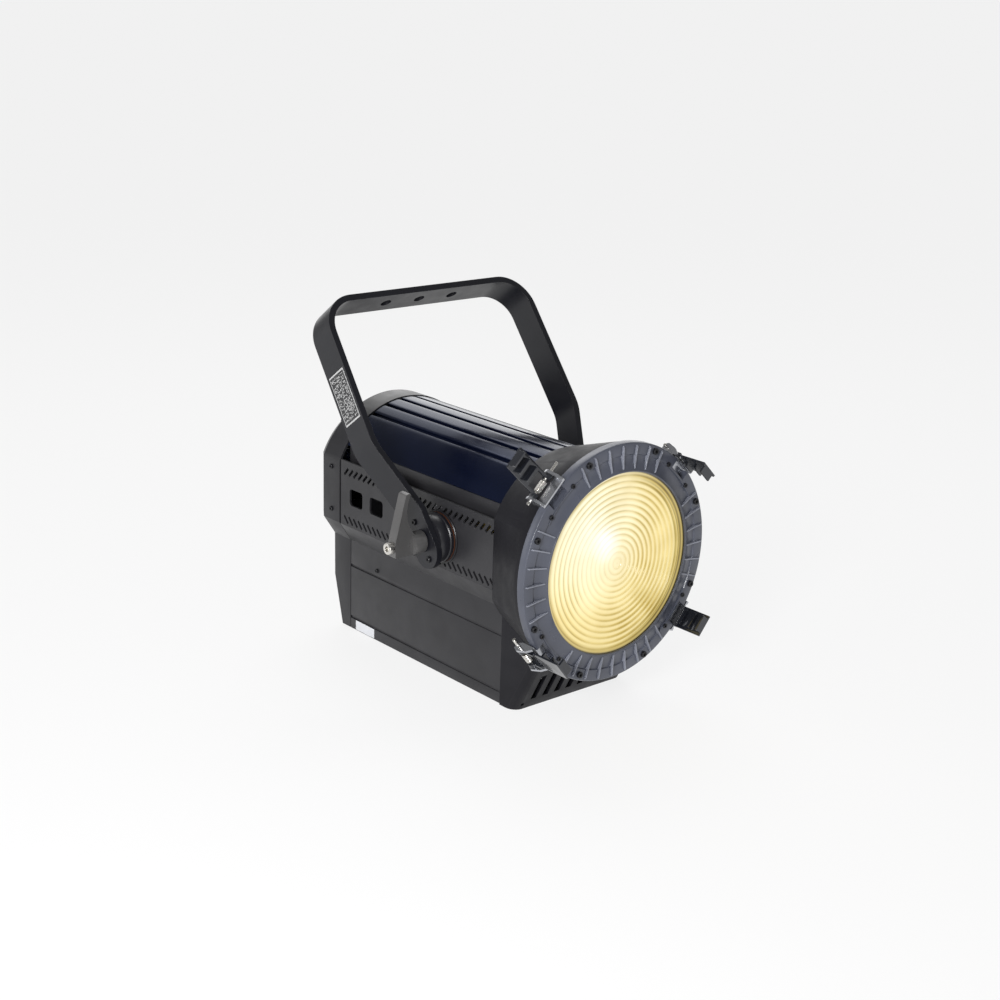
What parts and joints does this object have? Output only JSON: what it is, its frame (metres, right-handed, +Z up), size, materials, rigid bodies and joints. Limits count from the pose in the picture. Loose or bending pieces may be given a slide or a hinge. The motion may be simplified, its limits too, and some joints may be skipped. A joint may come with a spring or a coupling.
{
  "type": "fresnel spotlight",
  "caption": "Studio fresnel spotlight with a ribbed lens bezel, spring clips for accessories, a vented body and a bent flat-bar yoke.",
  "frame": {"origin": "on the base face, on the symmetry plane of the housing, straight below the tilt axis", "axes": "+Z up; the lens faces -Y; the tilt axis runs along X, with the lock lever on the -X side"},
  "size_m": [0.3222, 0.4558, 0.4148],
  "materials": {
    "body_dark": "matt fine-texture powder coat",
    "cast_black": "matt black paint on a casting",
    "cast_grey": "satin blue-grey paint on a casting",
    "gloss_black": "satin to gloss black paint",
    "clip_metal": "satin dark paint on folded steel",
    "steel": "turned steel",
    "black_steel": "blackened steel",
    "bare_aluminium": "plain extruded aluminium",
    "friction_brown": "fibre washer",
    "disc_black": "moulded nylon",
    "lever_grey": "die-cast, satin grey",
    "lens_glass": "moulded borosilicate, warm with the lamp lit",
    "seal_rubber": "silicone",
    "panel_black": "smooth membrane panel",
    "button_grey": "satin button cap",
    "screen": "tinted display window",
    "connector_blue": "moulded nylon socket",
    "connector_grey": "moulded nylon socket",
    "connector_metal": "nickel-plated shell",
    "zinc_plate": "zinc-plated sheet",
    "board_green": "circuit board",
    "emitter_yellow": "phosphor over the emitters",
    "reflector": "polished aluminium",
    "fan_black": "moulded fan",
    "brass": "turned"
  },
  "bodies": {
    "housing": {"base_tray": "body_dark", "lower_side_left": "body_dark", "lower_side_right": "body_dark", "housing_screws": "black_steel", "vent_side_left": "body_dark", "vent_side_right": "body_dark", "gutter_rails": "body_dark", "top_shell": "gloss_black", "front_housing": "cast_black", "front_bezel": "cast_grey", "bezel_screws": "black_steel", "fresnel_lens": "lens_glass", "lens_gasket": "seal_rubber", "lens_retainer": "zinc_plate", "rear_cover": "body_dark", "control_panel": "panel_black", "panel_screws": "black_steel", "display_window": "screen", "control_board": "board_green", "power_inlet": "connector_blue", "power_outlet": "connector_grey", "data_inlet": "connector_metal", "data_outlet": "connector_metal", "tilt_bosses": "black_steel", "friction_washers": "friction_brown", "pivot_bolt_left": "steel", "pivot_bolt_right": "black_steel", "pivot_nuts": "steel", "clip_brackets": "clip_metal", "clip_pins": "steel", "clip_springs": "steel", "clip_screws": "black_steel", "front_bulkhead": "zinc_plate", "rear_bulkhead": "zinc_plate", "guide_rods": "steel", "zoom_motor": "black_steel", "power_supply": "zinc_plate", "driver_board": "board_green", "board_posts": "brass"},
    "yoke": {"yoke": "gloss_black", "yoke_screws": "black_steel", "tilt_discs": "disc_black"},
    "lock_lever": {"lock_lever": "lever_grey"},
    "carriage": {"carriage_plate": "zinc_plate", "lead_nut": "brass", "led_array": "emitter_yellow", "light_shroud": "reflector", "heatsink": "bare_aluminium", "fan_frame": "fan_black", "fan_standoffs": "brass"},
    "lead_screw": {"lead_screw": "steel"},
    "fan_rotor": {"fan_rotor": "fan_black"},
    "clip_arm_top_left": {"clip_arm_top_left": "clip_metal"},
    "clip_arm_top_right": {"clip_arm_top_right": "clip_metal"},
    "clip_arm_bottom_right": {"clip_arm_bottom_right": "clip_metal"},
    "clip_arm_bottom_left": {"clip_arm_bottom_left": "clip_metal"},
    "button_menu": {"button_menu": "button_grey"},
    "button_down": {"button_down": "button_grey"},
    "button_up": {"button_up": "button_grey"},
    "button_enter": {"button_enter": "button_grey"}
  },
  "joints": [
    {"name": "yoke_tilt", "type": "hinge", "parent": "housing", "child": "yoke", "pos_m": [0, 0, 0.172], "axis": [-1, 0, 0], "range_deg": [-75, 80]},
    {"name": "tilt_lock", "type": "hinge", "parent": "yoke", "child": "lock_lever", "pos_m": [-0.14, 0, 0.172], "axis": [1, 0, 0], "range_deg": [0, 70]},
    {"name": "clip_top_left", "type": "hinge", "parent": "housing", "child": "clip_arm_top_left", "pos_m": [-0.09687, -0.159, 0.26887], "axis": [-0.7071, 0, -0.7071], "range_deg": [-92, 13]},
    {"name": "clip_top_right", "type": "hinge", "parent": "housing", "child": "clip_arm_top_right", "pos_m": [0.09687, -0.159, 0.26887], "axis": [-0.7071, 0, 0.7071], "range_deg": [0, 105]},
    {"name": "clip_bottom_right", "type": "hinge", "parent": "housing", "child": "clip_arm_bottom_right", "pos_m": [0.10647, -0.159, 0.08578], "axis": [0.6293, 0, 0.7771], "range_deg": [0, 105]},
    {"name": "clip_bottom_left", "type": "hinge", "parent": "housing", "child": "clip_arm_bottom_left", "pos_m": [-0.10647, -0.159, 0.08578], "axis": [0.6293, 0, -0.7771], "range_deg": [0, 105]},
    {"name": "press_menu", "type": "slide", "parent": "housing", "child": "button_menu", "axis": [0, -1, 0], "range_m": [0, 0.0012], "stiffness_N_per_m": 1500},
    {"name": "press_down", "type": "slide", "parent": "housing", "child": "button_down", "axis": [0, -1, 0], "range_m": [0, 0.0012], "stiffness_N_per_m": 1500},
    {"name": "press_up", "type": "slide", "parent": "housing", "child": "button_up", "axis": [0, -1, 0], "range_m": [0, 0.0012], "stiffness_N_per_m": 1500},
    {"name": "press_enter", "type": "slide", "parent": "housing", "child": "button_enter", "axis": [0, -1, 0], "range_m": [0, 0.0012], "stiffness_N_per_m": 1500},
    {"name": "focus_travel", "type": "slide", "parent": "housing", "child": "carriage", "axis": [0, -1, 0], "range_m": [0, 0.06]},
    {"name": "lead_screw_turn", "type": "hinge", "parent": "housing", "child": "lead_screw", "pos_m": [0, 0, 0.1], "axis": [0, 1, 0], "range_deg": [0, 2700.1]},
    {"name": "fan_spin", "type": "hinge", "parent": "carriage", "child": "fan_rotor", "pos_m": [0, 0.08, 0.172], "axis": [0, 1, 0], "continuous": true}
  ],
  "couplings": [
    {"joint": "lead_screw_turn", "follows": "focus_travel", "rad_per_m": 785.4}
  ]
}
